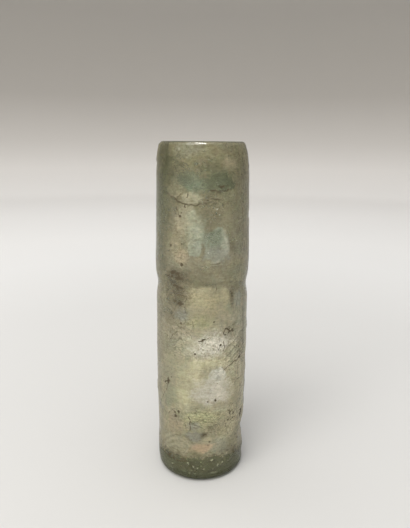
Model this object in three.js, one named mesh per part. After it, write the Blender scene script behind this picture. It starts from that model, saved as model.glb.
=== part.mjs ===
// Free-blown cylindrical glass vase, one solid: a tall tube with a shallow waist, a lip turned in and
// rounded by the fire, a thick floor, a crisp heel and an underside pushed in around the rod's scar.
// Millimetres, +Z up, origin on the standing surface at the middle of the vase's footprint.
import * as THREE from 'three';

// driving dimensions
const height = 150;
const segments = 56; // facets around
const wall = 2.2;
// heights and outer radii between which the blown wall runs smoothly, from the foot to the shoulder
const wallStations = [[6, 20.2], [20, 19.9], [40, 20.45], [58, 20.5], [78, 20.3], [100, 20.5], [118, 20.2], [134, 19.85]];
const ringStep = 10; // height between the wall's rings, away from the waist
const waist = { height: 89.6, depth: 0.75, halfWidth: 3.9 };
const waistRings = [-2.2, -1.2, -0.6, 0, 0.6, 1.2, 2.2]; // closer rings there, in half widths from its middle
const shoulder = { height: 134, turnIn: 1.8 }; // above it the wall leans in towards the lip
const lip = { outerRound: 1.9, innerRound: 1.7, blend: 7 }; // blend: depth over which the lip thins to the wall
const heel = { width: 4.5, height: 2.5 };
const underside = { standingWidth: 3.6, pushIn: 1.6 }; // flat ring worn by standing, then a shallow hollow
const scar = { radius: 5, width: 2.4, height: 0.5 }; // ring of glass left by the rod
const floorInside = { height: 6.4, dome: 0.8, corner: 8 }; // top of the floor, its rise in the middle, its fillet
// the hand-blown wall is a little out of true
const drift = { low: -0.35, lowHeight: 15, spread: 16 }; // sideways shift of the lower wall, towards -X
const outOfRound = { ovalness: 0.1, lobes: 0.06, lobeCount: 3, twistPerMm: 0.03 };

const smoothRise = (t) => t * t * (3 - 2 * t);
const bell = (t) => Math.exp(-t * t);
const radiusOf = (z) => {
  const last = wallStations.length - 1;
  let radius = z <= wallStations[0][0] ? wallStations[0][1] : wallStations[last][1];
  for (let i = 0; i < last; i += 1) {
    const [lowZ, lowRadius] = wallStations[i];
    const [highZ, highRadius] = wallStations[i + 1];
    if (z > lowZ && z <= highZ) {
      radius = THREE.MathUtils.lerp(lowRadius, highRadius, smoothRise((z - lowZ) / (highZ - lowZ)));
    }
  }
  const lean = Math.max(0, (z - shoulder.height) / (height - shoulder.height));
  return radius - waist.depth * bell((z - waist.height) / waist.halfWidth) - shoulder.turnIn * lean ** 2;
};

const ringHeights = (low, high) => {
  const reach = waistRings.at(-1) * waist.halfWidth;
  const heights = waistRings.map((steps) => waist.height + steps * waist.halfWidth);
  for (let z = ringStep; z < height; z += ringStep) {
    if (Math.abs(z - waist.height) > reach + ringStep / 4) heights.push(z);
  }
  return heights.filter((z) => z > low + 1 && z < high - 1).sort((a, b) => a - b);
};

// part of an ellipse from one angle to another, both in degrees from +r towards +z
const arc = (centre, acrossR, acrossZ, fromDeg, toDeg, steps) => Array.from({ length: steps + 1 }, (_, i) => {
  const angle = THREE.MathUtils.degToRad(fromDeg + ((toDeg - fromDeg) * i) / steps);
  return new THREE.Vector2(centre.x + acrossR * Math.cos(angle), centre.y + acrossZ * Math.sin(angle));
});

// from the axis out to the standing ring, over the hollow and the rod's scar
const undersideProfile = () => {
  const standingOuter = radiusOf(heel.height) - heel.width;
  const hollowEdge = standingOuter - underside.standingWidth;
  const hollowAt = (r) => underside.pushIn * Math.cos((r / hollowEdge) * (Math.PI / 2)) ** 0.8;
  const scarAt = (r) => scar.height * bell((r - scar.radius) / (scar.width / 2));
  const radii = [0, 2, 3.4, scar.radius - scar.width / 2, scar.radius, scar.radius + scar.width / 2, 7.6, 9.8];
  const points = radii.map((r) => new THREE.Vector2(r, hollowAt(r) - scarAt(r)));
  return [...points, new THREE.Vector2(hollowEdge, 0), new THREE.Vector2(standingOuter, 0)];
};

// heel, wall and rounded lip, from the standing ring up to the crest of the lip
const outsideProfile = () => {
  const heelCentre = new THREE.Vector2(radiusOf(heel.height) - heel.width, heel.height);
  const lipFoot = height - lip.outerRound;
  const lipCentre = new THREE.Vector2(radiusOf(lipFoot) - lip.outerRound, lipFoot);
  return [
    ...arc(heelCentre, heel.width, heel.height, -90, 0, 5).slice(1),
    ...ringHeights(heel.height, lipFoot).map((z) => new THREE.Vector2(radiusOf(z), z)),
    ...arc(lipCentre, lip.outerRound, lip.outerRound, 0, 90, 5),
  ];
};

// inner side of the lip, the bore and the floor, back down to the axis
const insideProfile = () => {
  const crestRadius = radiusOf(height - lip.outerRound) - lip.outerRound;
  const lipFoot = height - lip.innerRound;
  const blendFoot = lipFoot - lip.blend;
  const boreLow = floorInside.height + floorInside.corner;
  const lipRadius = crestRadius - lip.innerRound;
  const boreAt = (z) => {
    const thinning = smoothRise(THREE.MathUtils.clamp((z - blendFoot) / lip.blend, 0, 1));
    return THREE.MathUtils.lerp(radiusOf(z) - wall, lipRadius, thinning);
  };
  const boreHeights = ringHeights(boreLow, lipFoot).reverse();
  const cornerCentre = new THREE.Vector2(boreAt(boreLow) - floorInside.corner, boreLow);
  return [
    ...arc(new THREE.Vector2(crestRadius, lipFoot), lip.innerRound, lip.innerRound, 90, 180, 4).slice(1),
    ...boreHeights.map((z) => new THREE.Vector2(boreAt(z), z)),
    ...arc(cornerCentre, floorInside.corner, floorInside.corner, 0, -90, 5),
    new THREE.Vector2(cornerCentre.x / 2, floorInside.height + floorInside.dome * 0.6),
    new THREE.Vector2(0, floorInside.height + floorInside.dome),
  ];
};

// moves every ring a little off true, wall and bore alike, and leaves all heights as they are
const wander = (geometry) => {
  const positions = geometry.attributes.position;
  for (let i = 0; i < positions.count; i += 1) {
    const [x, y, z] = [positions.getX(i), positions.getY(i), positions.getZ(i)];
    const angle = Math.atan2(y, x);
    const lobe = Math.cos(outOfRound.lobeCount * angle + outOfRound.twistPerMm * z);
    const swell = (outOfRound.ovalness * Math.cos(2 * angle) + outOfRound.lobes * lobe) / radiusOf(height / 2);
    const shift = drift.low * bell((z - drift.lowHeight) / drift.spread);
    positions.setXY(i, x * (1 + swell) + shift, y * (1 + swell));
  }
};

const vaseGeometry = () => {
  const profile = [...undersideProfile(), ...outsideProfile(), ...insideProfile()];
  const geometry = new THREE.LatheGeometry(profile, segments);
  geometry.rotateX(Math.PI / 2);
  wander(geometry);
  geometry.computeBoundingBox();
  const middle = geometry.boundingBox.getCenter(new THREE.Vector3());
  geometry.translate(-middle.x, -middle.y, 0);
  geometry.computeVertexNormals();
  return geometry;
};

const weatheredGlass = new THREE.MeshStandardMaterial({
  color: new THREE.Color(0.34, 0.36, 0.24), roughness: 0.35, metalness: 0, transparent: true, opacity: 0.8,
});

const vase = new THREE.Mesh(vaseGeometry(), weatheredGlass);
vase.name = 'vase';

const model = new THREE.Group();
model.add(vase);
export default model;
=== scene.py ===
import math
import bmesh
import bpy
from mathutils import Matrix, Vector, noise


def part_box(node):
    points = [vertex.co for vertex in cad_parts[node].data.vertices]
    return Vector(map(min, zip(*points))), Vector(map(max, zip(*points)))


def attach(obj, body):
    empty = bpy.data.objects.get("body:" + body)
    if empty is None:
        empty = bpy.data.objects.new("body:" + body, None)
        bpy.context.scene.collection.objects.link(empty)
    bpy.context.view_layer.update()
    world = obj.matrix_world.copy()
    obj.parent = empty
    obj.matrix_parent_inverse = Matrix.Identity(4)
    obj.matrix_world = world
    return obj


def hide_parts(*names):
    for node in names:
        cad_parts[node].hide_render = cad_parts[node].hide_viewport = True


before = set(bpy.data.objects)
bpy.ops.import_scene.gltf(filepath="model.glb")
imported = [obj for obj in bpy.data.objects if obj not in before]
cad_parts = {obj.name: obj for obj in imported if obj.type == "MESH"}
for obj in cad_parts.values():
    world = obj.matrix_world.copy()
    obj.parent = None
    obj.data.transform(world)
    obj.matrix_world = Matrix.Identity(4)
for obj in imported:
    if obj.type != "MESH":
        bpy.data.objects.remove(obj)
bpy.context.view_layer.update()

mm = 0.001
scene = bpy.context.scene

# Angles on the wall are in degrees from the viewer's side (-Y), growing to the viewer's right.
# Heights, widths and depths on the vase are in millimetres.
form = {
    "node": "vase",
    "wallStations": ((6, 20.2), (20, 19.9), (40, 20.45), (58, 20.5),
                     (78, 20.3), (100, 20.5), (118, 20.2), (134, 19.85)),
    "wall": 2.2,
    "waistHeight": 89.6,
    "waistDepth": 0.75,
    "waistHalfWidth": 3.9,
    "shoulderHeight": 134,
    "turnIn": 1.8,
    "lipOuter": 1.9,
    "lipInner": 1.7,
    "lipBlend": 7,
    "heelWidth": 4.5,
    "heelHeight": 2.5,
    "standingWidth": 3.6,
    "pushIn": 1.6,
    "scarRadius": 5,
    "scarWidth": 2.4,
    "scarHeight": 0.5,
    "floorHeight": 6.4,
    "floorDome": 0.8,
    "floorCorner": 8,
    "drift": (-0.35, 15, 16),  # sideways shift, its height and its spread
    "tuck": (0.018, 7),  # how far the foot draws in, as a share, and up to what height
    "pinch": (0.5, 144.5),  # how far the lip leans in at the right, and from what height
    "ovalness": 0.1,
    "lobes": 0.06,
    "lobeTwist": 0.03,
    "around": 240,  # columns of faces
    "outerStep": 0.66,  # height between rings outside
    "innerStep": 5.0,
}
low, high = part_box(form["node"])
vaseHeight = (high.z - low.z) / mm


def smoothRise(t):
    t = max(0.0, min(1.0, t))
    return t * t * (3 - 2 * t)


def bell(t):
    return math.exp(-t * t)


def islands(spot, size, shift, start, fade):  # 0 to 1: where a noise rises over a value
    return smoothRise((noise.noise(spot / size + Vector(shift)) - start) / fade)


def outerRadius(z):
    stations = form["wallStations"]
    radius = stations[0][1] if z <= stations[0][0] else stations[-1][1]
    for (lowZ, lowRadius), (highZ, highRadius) in zip(stations, stations[1:]):
        if lowZ < z <= highZ:
            radius = lowRadius + (highRadius - lowRadius) * smoothRise((z - lowZ) / (highZ - lowZ))
    lean = max(0.0, (z - form["shoulderHeight"]) / (vaseHeight - form["shoulderHeight"]))
    groove = form["waistDepth"] * bell((z - form["waistHeight"]) / form["waistHalfWidth"])
    return radius - groove - form["turnIn"] * lean ** 2


def arc(centreR, centreZ, acrossR, acrossZ, fromDeg, toDeg, steps):
    points = []
    for i in range(steps + 1):
        angle = math.radians(fromDeg + (toDeg - fromDeg) * i / steps)
        points.append((centreR + acrossR * math.cos(angle), centreZ + acrossZ * math.sin(angle)))
    return points


def evenly(fromZ, toZ, step):
    count = max(2, round(abs(toZ - fromZ) / step))
    return [fromZ + (toZ - fromZ) * i / count for i in range(1, count)]


def undersideProfile():  # from the axis out to the standing ring
    standingOuter = outerRadius(form["heelHeight"]) - form["heelWidth"]
    hollowEdge = standingOuter - form["standingWidth"]
    points = []
    for i in range(13):
        r = hollowEdge * i / 13
        hollow = form["pushIn"] * math.cos(r / hollowEdge * math.pi / 2) ** 0.8
        scar = form["scarHeight"] * bell((r - form["scarRadius"]) / (form["scarWidth"] / 2))
        points.append((r, hollow - scar))
    return points + [(hollowEdge, 0.0), (standingOuter, 0.0)]


def outsideProfile():  # heel, wall and lip, up to the crest
    heelCentre = outerRadius(form["heelHeight"]) - form["heelWidth"]
    lipFoot = vaseHeight - form["lipOuter"]
    heelArc = arc(heelCentre, form["heelHeight"], form["heelWidth"], form["heelHeight"], -90, 0, 11)
    wallRings = [(outerRadius(z), z) for z in evenly(form["heelHeight"], lipFoot, form["outerStep"])]
    lipCentre = outerRadius(lipFoot) - form["lipOuter"]
    lipArc = arc(lipCentre, lipFoot, form["lipOuter"], form["lipOuter"], 0, 90, 9)
    return heelArc[1:] + wallRings + lipArc


def insideProfile():  # inner side of the lip, the bore and the floor
    crest = outerRadius(vaseHeight - form["lipOuter"]) - form["lipOuter"]
    lipFoot = vaseHeight - form["lipInner"]
    boreLow = form["floorHeight"] + form["floorCorner"]

    def boreRadius(z):
        thinning = smoothRise((z - lipFoot + form["lipBlend"]) / form["lipBlend"])
        plain = outerRadius(z) - form["wall"]
        return plain + (crest - form["lipInner"] - plain) * thinning

    lipArc = arc(crest, lipFoot, form["lipInner"], form["lipInner"], 90, 180, 8)
    bore = [(boreRadius(z), z) for z in evenly(lipFoot, boreLow, form["innerStep"])]
    cornerCentre = boreRadius(boreLow) - form["floorCorner"]
    corner = arc(cornerCentre, boreLow, form["floorCorner"], form["floorCorner"], 0, -90, 9)
    floorRings = []
    for i in range(1, 5):
        part = i / 4
        rise = form["floorDome"] * smoothRise(part)
        floorRings.append((cornerCentre * (1 - part), form["floorHeight"] + rise))
    return lipArc[1:] + bore + corner + floorRings


def wander(x, y, z):  # the hand-blown wall is a little out of true
    angle = math.atan2(y, x)
    lobe = math.cos(3 * angle + form["lobeTwist"] * z)
    uneven = form["ovalness"] * math.cos(2 * angle) + form["lobes"] * lobe
    swell = uneven / outerRadius(vaseHeight / 2)
    shift, shiftHeight, spread = form["drift"]
    pinch, pinchHeight = form["pinch"]
    tuck, tuckHeight = form["tuck"]
    swell -= tuck * (1 - smoothRise(z / tuckHeight)) * smoothRise((math.hypot(x, y) - 10) / 6)
    lean = pinch * smoothRise((z - pinchHeight) / (vaseHeight - pinchHeight)) * smoothRise(x / 16)
    return x * (1 + swell) + shift * bell((z - shiftHeight) / spread) - lean, y * (1 + swell)


olive, khaki, brown = (0.14, 0.124, 0.07), (0.27, 0.24, 0.16), (0.16, 0.135, 0.082)
pale, ochre, gold = (0.4, 0.37, 0.255), (0.43, 0.375, 0.23), (0.62, 0.57, 0.375)
teal, deepGreen, greyGreen = (0.19, 0.225, 0.155), (0.095, 0.105, 0.055), (0.33, 0.345, 0.265)
lilac, white, blueGrey = (0.64, 0.59, 0.495), (0.7, 0.66, 0.57), (0.27, 0.26, 0.215)
salmon, rust, tan = (0.58, 0.415, 0.275), (0.125, 0.102, 0.062), (0.39, 0.325, 0.22)
leafGreen, baseGreen, baseBrown = (0.4, 0.4, 0.2), (0.15, 0.155, 0.08), (0.25, 0.215, 0.13)
powderAndGlint, flakeTan, straw = (0.72, 0.7, 0.62), (0.26, 0.235, 0.15), (0.47, 0.415, 0.27)
footGreen, footEdge, heelLight = (0.085, 0.096, 0.044), (0.024, 0.032, 0.012), (0.4, 0.4, 0.27)
grainLight, deepOlive, mistGreen = (0.47, 0.46, 0.35), (0.08, 0.08, 0.04), (0.39, 0.41, 0.31)
seaGreen = (0.24, 0.275, 0.185)

# name: (angle, height, half width, half height, turn, colour, amount, softness)
patches = {
    "shoulderShade": (-54, 136, 4.8, 12, 0, deepOlive, 0.75, 0.95),
    "leftShade": (-60, 120, 4.6, 26, 0, deepOlive, 0.6, 0.7),
    "leftBand": (-42, 60, 6.4, 22, 0, khaki, 0.45, 0.7),
    "leftSoil": (-34, 76, 5.6, 4.6, 0, brown, 0.45, 0.8),
    # painted shade: this patch darkens the film along the left-hand outline
    "leftEdgeShade": (-68, 55, 4.4, 30, 0, khaki, 0.7, 0.6),
    "rightDimLow": (48, 36, 3.4, 5, 0, khaki, 0.5, 0.7),
    "lipPale": (-22, 146.6, 5.2, 2.4, 0, greyGreen, 0.3, 0.6),
    "lipStainRight": (33, 141.3, 4.2, 2.6, 0, tan, 0.55, 0.3),
    "lipBrown": (10, 141.2, 5, 2.4, 0, olive, 0.4, 0.6),
    "rightEdgeHigh": (50, 136.5, 4.4, 4.2, 0, brown, 0.35, 0.4),
    "paneTop": (18, 139.4, 5.6, 2.4, 0, deepGreen, 0.4, 0.8),
    "paneSide": (5, 133.6, 5, 3, 0, deepGreen, 0.6, 0.9),
    "paneCore": (19, 132.8, 3.8, 1.9, 0, footEdge, 0.75, 0.7),
    "darkPane": (21, 134.8, 6, 3.8, 0, deepGreen, 0.95, 0.5),
    "tealPane": (-18, 134.4, 4.6, 3.2, 0, teal, 0.6, 0.8),
    "tealTail": (-10, 132.6, 4.4, 2.4, 0, teal, 0.8, 0.8),
    "flakeLeft": (-31, 130.9, 4.8, 2.8, -8, flakeTan, 0.75, 0.12),
    "flakeRight": (-12, 128.2, 4, 2.3, -4, pale, 0.8, 0.12),
    "brownCloud": (9, 121, 4.6, 8, 0, brown, 0.8, 0.6),
    "middleSeam": (2.5, 112, 1.5, 9, 0, olive, 0.75, 0.6),
    "paleColumn": (-18, 119.5, 4.6, 5.8, 0, pale, 0.85, 0.3),
    "paleColumnLow": (-8, 114.5, 3.6, 7, 0, mistGreen, 0.7, 0.5),
    "roundPane": (-8.6, 108.2, 3.2, 4.2, 0, greyGreen, 0.85, 0.12),
    "ovalField": (18, 108.8, 5.6, 7.4, 0, greyGreen, 0.85, 0.1),
    "ovalSide": (26, 108, 2.2, 5.6, 8, lilac, 0.12, 0.4),
    "tealOval": (14, 111.8, 3.4, 3.8, 0, teal, 0.65, 0.5),
    "greyOval": (18, 105, 5, 3.8, 0, blueGrey, 0.75, 0.5),
    "lilacCrescent": (30, 110.8, 0.9, 4, 14, lilac, 0.28, 0.3),
    "ovalShade": (36.5, 110, 1.7, 5.4, 14, brown, 0.65, 0.4),
    "blush": (-28, 114.5, 2.6, 5, 0, salmon, 0.16, 0.6),
    "blushLow": (-25, 105, 2.6, 3.6, 0, salmon, 0.3, 0.6),
    "warmSide": (-27, 109, 4.2, 6, 0, ochre, 0.3, 0.6),
    "waistShade": (-31, 95.4, 6.6, 3.4, 0, rust, 0.75, 0.5),
    "oliveWaist": (2, 97.5, 9.5, 3, 0, olive, 0.25, 0.6),
    "rustSpot": (-27, 89.9, 2.6, 1.8, 0, brown, 0.8, 0.4),
    "ochreBand": (6, 87.4, 9.6, 4.2, 0, ochre, 0.75, 0.4),
    "ochreFoot": (5, 82, 8.4, 4.4, 0, ochre, 0.6, 0.5),
    "ochreTop": (5, 90.4, 8.4, 1.1, 0, gold, 0.35, 0.5),
    "ochreSeam": (4, 93.4, 11, 1.1, 0, olive, 0.4, 0.6),
    "mossShade": (2, 79, 6, 3, 0, olive, 0.18, 0.7),
    "mossGreen": (1, 76, 6.6, 2.6, 0, leafGreen, 0.35, 0.7),
    "soilLeft": (-33, 86, 5.2, 6.4, 0, rust, 0.8, 0.6),
    "slateLeft": (-25.8, 79.6, 2.8, 2.8, 0, blueGrey, 0.8, 0.6),
    "soilRight": (40, 86.2, 1.3, 5, 0, rust, 0.7, 0.4),
    "oliveRight": (50, 90.4, 2.4, 2.6, 0, olive, 0.6, 0.5),
    "slateRight": (49.5, 85, 2.4, 4, 0, blueGrey, 0.8, 0.5),
    "streakRight": (63, 73, 1.1, 17, 0, olive, 0.6, 0.5),
    # partly whitish film, partly painted light where the front of the body glows
    "mistGlowPatch": (9, 66.8, 9.6, 5.4, 6, white, 0.45, 0.5),
    "mistGlowCore": (11, 66.3, 6.2, 2.8, 8, white, 0.5, 0.6),
    "shadeMist": (38, 72, 3.6, 3, -30, brown, 0.45, 0.6),
    "shadeFolds": (58, 63, 3, 7, 0, brown, 0.45, 0.5),
    "goldenField": (-10, 50, 8, 6.2, 0, gold, 0.55, 0.5),
    "goldenLow": (-17, 44, 4.6, 6.6, 0, gold, 0.6, 0.7),
    "goldenHigh": (8, 58, 7.4, 2.4, 4, gold, 0.75, 0.5),
    "powderLeft": (15, 52.2, 2.3, 3.6, 0, powderAndGlint, 0.7, 0.1),
    "powderPatch": (23.5, 52, 2.5, 3.8, 0, powderAndGlint, 0.7, 0.1),
    "powderStain": (21, 50.9, 1, 1.2, 0, blueGrey, 0.6, 0.4),
    "roseField": (13, 44.8, 8.6, 5.8, 0, lilac, 1, 0.4),
    "seaField": (-42, 42, 3.2, 5.8, 0, seaGreen, 0.35, 0.7),
    "sideTan": (50, 45, 5, 10, 0, straw, 0.5, 0.5),
    "ridgeField": (4, 32.2, 8.2, 4, 0, leafGreen, 0.45, 0.6),
    "oliveRidge": (23, 27.4, 4.6, 2.6, 0, olive, 0.7, 0.5),
    "tanField": (-36, 27, 4.4, 3.8, 0, tan, 0.75, 0.4),
    "slatePatch": (-9, 28, 2.6, 2.4, 8, blueGrey, 0.7, 0.4),
    "slateLow": (-6.5, 23.2, 4, 2.6, 0, blueGrey, 0.8, 0.3),
    "oliveFleck": (5, 23.6, 1.9, 1.5, 40, olive, 0.6, 0.3),
    "goldFleck": (10, 21, 2.6, 2.4, 30, straw, 0.7, 0.5),
    "sideBrown": (40, 27, 6.4, 8, 0, straw, 0.7, 0.5),
    "greySide": (26, 18, 4.4, 3.6, 0, greyGreen, 0.5, 0.6),
    "salmonPatch": (0.5, 17.2, 4.8, 1.9, 8, salmon, 0.75, 0.5),
    "palePebble": (-33, 17.5, 6.6, 5, 0, pale, 0.75, 0.15),
    # partly dark film, partly painted shade: these edge patches darken the right-hand outline, where
    # the glass looks dark edge-on
    "edgeDark": (83, 138.5, 1.9, 7.5, 8, footEdge, 0.85, 0.7),
    "edgeDarkMiddle": (83, 109, 2.4, 8.5, 0, olive, 0.7, 0.4),
    "edgeDarkWaist": (80.5, 100.5, 1.8, 7.2, -10, footEdge, 0.75, 0.7),
    "edgeGreen": (82, 38.5, 2, 9, 9, footEdge, 0.8, 0.7),
    "edgeSeam": (85, 68, 1.6, 20, 2, olive, 0.45, 0.7),
    "edgeSeamHigh": (87, 120, 1.6, 13, 0, olive, 0.45, 0.7),
    "sideStreakHigh": (98, 131, 1.5, 8, 8, olive, 0.55, 0.7),
    "sideStreakLong": (70, 113, 1.3, 9, -6, olive, 0.4, 0.7),
    "sideStreakLow": (101, 34, 1.9, 7, 12, brown, 0.55, 0.7),
    "sideStreakWaist": (94, 86, 1.6, 8, -10, olive, 0.5, 0.7),
    "sideOlive": (112, 106, 6, 12, 0, olive, 0.5, 0.7),
    "sideOchre": (119, 50, 7, 5, 0, gold, 0.5, 0.6),
    "sideTeal": (-112, 124, 6, 8, 0, teal, 0.5, 0.6),
    "sidePale": (-112, 56, 6, 9, 0, pale, 0.5, 0.6),
    "sideShade": (-120, 26, 7, 5, 0, brown, 0.4, 0.7),
    "backTeal": (150, 128, 8, 5, 0, teal, 0.6, 0.7),
    "backOchre": (-166, 84, 9, 4, 0, ochre, 0.6, 0.5),
    "backOlive": (-146, 102, 8, 9, 0, olive, 0.5, 0.7),
    "backPale": (178, 62, 9, 7, 10, pale, 0.6, 0.6),
    "backTan": (160, 32, 7, 8, 0, tan, 0.5, 0.6),
    "baseRust": (-36, 11.2, 7, 1.7, 0, baseBrown, 0.6, 0.4),
    "baseRight": (50, 12, 6, 2.6, -12, olive, 0.5, 0.6),
}
# name: (angle, height, half width, half height, turn, share of the film that is gone)
barePatches = {
    "darkPane": (21, 134.4, 6, 3.2, 0, 0.5),
    "tealPane": (-19, 135, 3.2, 2.8, 0, 0.4),
    "tealOval": (14, 111.8, 3.4, 3.8, 0, 0.28),
    "edgeRight": (79.5, 36.8, 1.4, 5.2, 0, 0.6),
    "edgeRightHigh": (82, 139, 1.6, 7, 0, 0.5),
    "baseCentre": (-2.6, 11.6, 4.4, 1.9, 0, 0.5),
    "sideLeft": (-96, 118, 9, 14, 10, 0.5),
    "sideRight": (104, 74, 8, 17, -8, 0.5),
    "backHigh": (172, 121, 11, 12, 15, 0.55),
    "backLow": (-150, 48, 12, 10, -20, 0.55),
}
# name: (angle, height, half width, half height, turn, thickness of the dirt)
soilPatches = {
    "waistUpper": (-30, 97.2, 3.6, 1.2, 4, 0.95),
    "waistLower": (-28, 95.1, 2.6, 1.2, -6, 1.2),
    "waistLeft": (-40, 96, 3, 1.6, 0, 0.7),
    "rustEdge": (-25.5, 90.6, 2.6, 1.3, 0, 1),
    "rustLine": (-33, 91.6, 4, 0.8, 4, 0.7),
    "besideOchre": (-27, 84.1, 2.4, 1.2, 0, 1.2),
    "besideOchreLeft": (-35, 84.9, 1.6, 1, 0, 0.8),
    "besideOchreRight": (-20.5, 83.4, 0.7, 1.8, 0, 0.8),
    "rightOfOchre": (39.4, 86.4, 0.8, 4.6, 0, 0.7),
    "rightOlive": (50, 90.4, 1.8, 1.4, 0, 0.5),
    "paneCrust": (20, 132.4, 4, 1.4, 0, 0.75),
    "foldShade": (38, 71.6, 3, 1.6, -10, 0.65),
    "leftCrackle": (-30, 71, 6, 6, 0, 0.35),
    "cluster": (-33, 33, 2.6, 1.6, -15, 0.6),
    "darkMark": (-44.6, 47.6, 1.3, 2.2, -10, 1.1),
    "darkMarkSide": (-53, 46, 3, 1.3, 0, 0.7),
    "rightFolds": (54, 63, 4.6, 8, 0, 0.4),
    "oliveRidge": (24, 28, 4, 1.6, 0, 0.4),
    "oliveFleck": (5, 23.8, 1.6, 1, 40, 0.65),
    "sideSpeckle": (44, 30, 5, 6.5, 0, 0.5),
    "sideStreak": (44, 34.6, 0.8, 4.6, 0, 0.5),
    "edgeSpot": (64, 29.2, 1.2, 2, 0, 1),
    # partly dirt, partly painted shade: the soil along the right-hand outline darkens it where the
    # glass looks dark edge-on
    "edgeShadeHigh": (83, 138.5, 1.6, 6.6, 8, 0.65),
    "edgeShadeWaist": (80.5, 101, 1.5, 5.8, -10, 0.6),
    "edgeShadeFoot": (82, 38.5, 1.8, 8, 9, 0.6),
    "baseLeft": (-40, 10.6, 6.5, 1.6, 0, 0.7),
    "baseRight": (52, 11.6, 5, 1.8, -12, 0.5),
    "backSmear": (150, 66, 12, 7, 20, 0.5),
    "sideSmear": (-108, 30, 7, 9, -10, 0.5),
}
# name: (angle, height, half width, half height, turn, how crumpled the film is)
crumples = {
    "mist": (14, 66, 11, 6, 6, 0.9),
    "leftCrackle": (-28, 70, 7, 9, 0, 1),
    "rightFolds": (48, 62, 9, 12, 0, 0.9),
    "ridges": (10, 32, 12, 5.4, 0, 0.9),
    "sideSpeckle": (36, 29, 8, 8, 0, 1),
    "blush": (-27, 108, 4.5, 9, 0, 0.6),
    "besideOchre": (-33, 88, 8, 8, 0, 0.7),
    "shoulder": (0, 137, 24, 15, 0, 0.4),
    "crust": (14, 127, 8, 4, 0, 0.8),
    "base": (0, 9, 24, 5, 0, 0.9),
    "back": (165, 72, 22, 26, 0, 0.8),
    "sideLeft": (-98, 70, 12, 20, 0, 0.7),
}
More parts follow.
